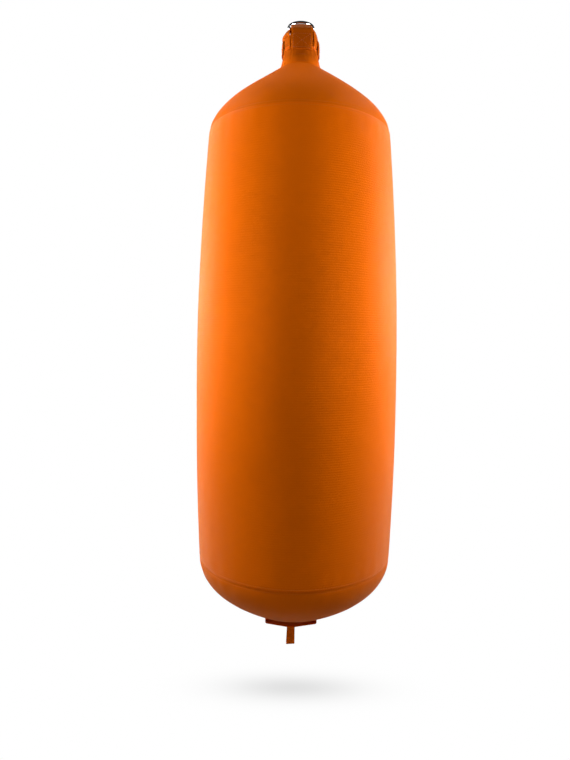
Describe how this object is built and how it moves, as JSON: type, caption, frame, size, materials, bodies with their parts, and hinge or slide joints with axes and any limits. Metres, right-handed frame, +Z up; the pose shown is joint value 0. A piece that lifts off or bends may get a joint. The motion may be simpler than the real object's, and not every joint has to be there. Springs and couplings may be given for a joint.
{
  "type": "hanging punching bag",
  "caption": "Stuffed cloth punching bag with a conical shoulder, hung by webbing straps from a D-ring, with a tether loop under its base.",
  "frame": {"origin": "middle of the D-ring's straight bar, on the bag's axis, where the straps pass over the bar and carry the bag's weight", "axes": "+Z up along the bag's axis, +X along the D-ring's bar, -Y towards the front; the bag hangs below the origin and the ring's arc leans back towards +Y"},
  "size_m": [0.3811, 0.3812, 1.2173],
  "materials": {
    "cover_cloth": "orange woven cloth",
    "webbing": "orange woven webbing",
    "thread": "orange sewing thread",
    "ring_steel": "polished chrome plate",
    "foam": "grey felted foam lining",
    "liner_cloth": "plain undyed cloth",
    "tie_cord": "white braided cord",
    "textile": "mixed shredded cloth",
    "sand": "sand in a plain cloth sack"
  },
  "bodies": {
    "ring": {"d_ring": "ring_steel"},
    "bag": {"front_back_strap": "webbing", "side_strap": "webbing", "front_back_doubler": "webbing", "left_doubler": "webbing", "right_doubler": "webbing", "hanger_stitching": "thread", "hanger_cross_tacks": "thread", "neck_cuff": "cover_cloth", "neck_hem": "cover_cloth", "neck_stitching": "thread", "cover_shoulder": "cover_cloth", "cover_sleeve": "cover_cloth", "cover_base": "cover_cloth", "shoulder_seam_tape": "webbing", "base_seam_tape": "webbing", "shoulder_pad": "foam", "foam_jacket": "foam", "base_pad": "foam", "inner_liner": "liner_cloth", "liner_tie": "tie_cord", "textile_fill": "textile", "sand_bag_upper": "sand", "sand_bag_middle": "sand", "sand_bag_lower": "sand", "base_band": "webbing", "band_stitching": "thread", "tether_sling": "webbing"},
    "tether": {"tether_loop": "webbing"}
  },
  "joints": [
    {"name": "bag_swing", "type": "hinge", "parent": "ring", "child": "bag", "pos_m": [0, 0, 0], "axis": [1, 0, 0], "range_deg": [-90, 45]},
    {"name": "tether_flex", "type": "hinge", "parent": "bag", "child": "tether", "pos_m": [-0.0045, 0, -1.1546], "axis": [1, 0, 0], "range_deg": [-75, 75]}
  ]
}
